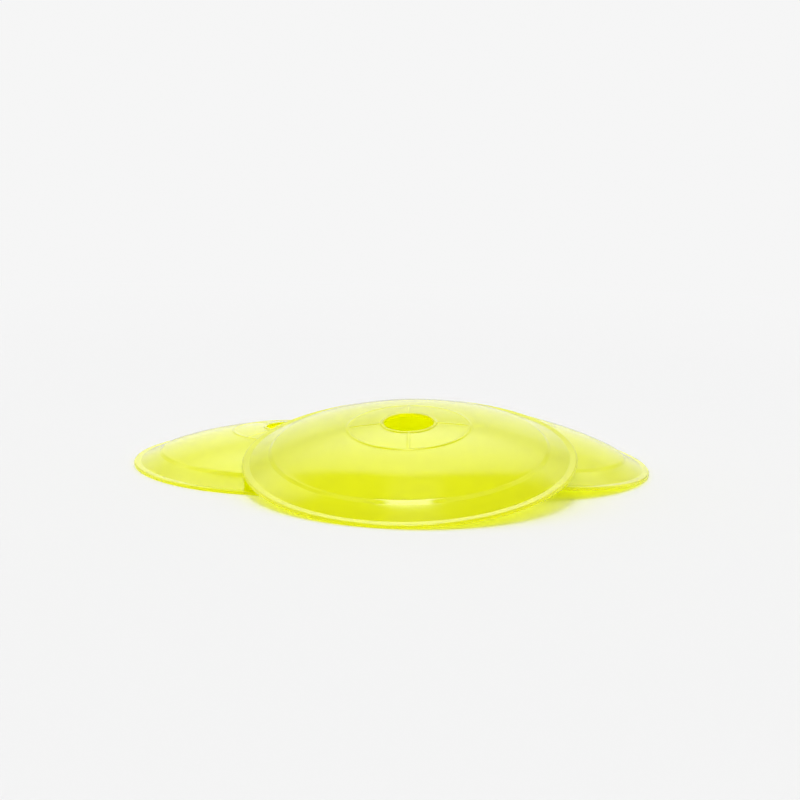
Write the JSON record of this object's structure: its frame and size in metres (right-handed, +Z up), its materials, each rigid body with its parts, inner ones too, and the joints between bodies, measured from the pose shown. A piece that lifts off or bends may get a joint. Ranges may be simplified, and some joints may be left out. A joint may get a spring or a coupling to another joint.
{
  "type": "marker disc heap",
  "caption": "Low domed sports marker discs lying in a loose heap, leaning on one another, each with a stepped flange, a collared centre hole and a ringed, spoked crown.",
  "frame": {"origin": "on the floor, under the middle of the heap's bounding box", "axes": "+Z up from the floor; +X from the flat disc towards the disc that leans on it from the right; -Y towards the front disc and the viewer"},
  "size_m": [0.3332, 0.268, 0.0448],
  "materials": {
    "yellow_plastic": "gloss, slightly translucent, fluorescent yellow"
  },
  "bodies": {
    "left": {"left_marker": "yellow_plastic"},
    "right": {"right_marker": "yellow_plastic"},
    "front": {"front_marker": "yellow_plastic"}
  },
  "joints": [
    {"name": "right_lift", "type": "slide", "parent": "left", "child": "right", "axis": [0, 0, 1], "range_m": [0, 0.15]},
    {"name": "front_lift", "type": "slide", "parent": "right", "child": "front", "axis": [0, 0, 1], "range_m": [0, 0.15]}
  ]
}
